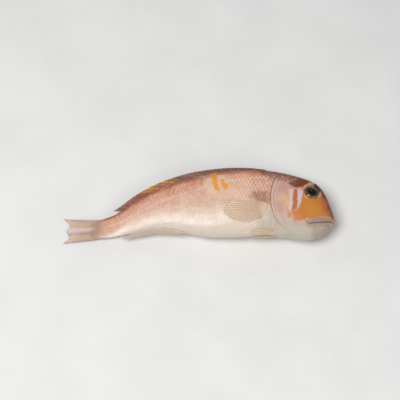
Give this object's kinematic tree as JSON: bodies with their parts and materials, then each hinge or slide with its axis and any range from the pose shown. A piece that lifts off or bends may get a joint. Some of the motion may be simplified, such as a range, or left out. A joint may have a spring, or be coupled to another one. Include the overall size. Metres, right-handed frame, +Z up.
{
  "type": "tilefish",
  "caption": "Whole fresh red tilefish lying on its left flank, with folded fins, closed mouth and gill covers, and bulging eyes.",
  "frame": {"origin": "on the surface the fish lies on, under the middle of its own box", "axes": "+X towards the head, +Y towards the back, +Z up out of the right flank"},
  "size_m": [0.3672, 0.1094, 0.0501],
  "materials": {
    "skin": "wet scaly fish skin, salmon red on the back, silvery cream on the belly, orange on the cheek",
    "median_fins": "wet folded fin rays and web, red brown with yellow streaks",
    "paired_fins": "thin pale pink and yellow fin rays and web, part see-through",
    "eye": "clear wet cornea over a gold ringed iris and a large black pupil"
  },
  "bodies": {
    "root": {"body": "skin", "dorsal_fin": "median_fins", "anal_fin": "median_fins", "tail_fin": "median_fins", "pectoral_fin_right": "paired_fins", "pectoral_fin_left": "paired_fins", "pelvic_fin_right": "paired_fins", "pelvic_fin_left": "paired_fins", "eye_right": "eye", "eye_left": "eye"}
  },
  "joints": []
}
